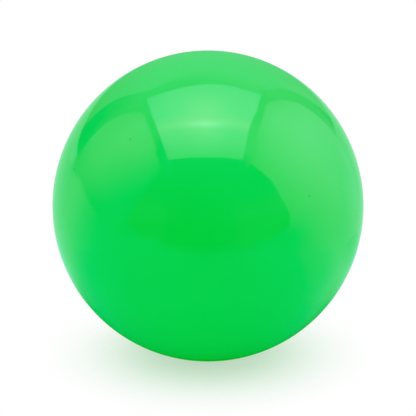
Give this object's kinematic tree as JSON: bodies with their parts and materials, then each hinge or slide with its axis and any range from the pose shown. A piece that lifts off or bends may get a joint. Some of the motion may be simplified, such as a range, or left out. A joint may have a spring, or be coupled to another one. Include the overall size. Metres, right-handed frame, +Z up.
{
  "type": "playground ball",
  "caption": "Smooth, high-gloss green rubber playground ball, inflatable through a flush needle valve, resting on a small flat patch.",
  "frame": {"origin": "middle of the flat patch that the ball rests on, straight below its centre", "axes": "+Z up through the ball's centre; the valve axis lies in the YZ plane and points to +Y and 15 degrees below level; the front looks along -Y"},
  "size_m": [0.216, 0.216, 0.2153],
  "materials": {
    "cover_rubber": "gloss",
    "nylon_yarn": "satin",
    "bladder_rubber": "matte",
    "patch_rubber": "matte",
    "valve_rubber": "satin",
    "core_rubber": "satin"
  },
  "bodies": {
    "root": {"front_cover_half": "cover_rubber", "rear_cover_half": "cover_rubber", "nylon_winding": "nylon_yarn", "rubber_bladder": "bladder_rubber", "valve_patch": "patch_rubber", "valve_housing": "valve_rubber", "valve_core": "core_rubber"}
  },
  "joints": []
}
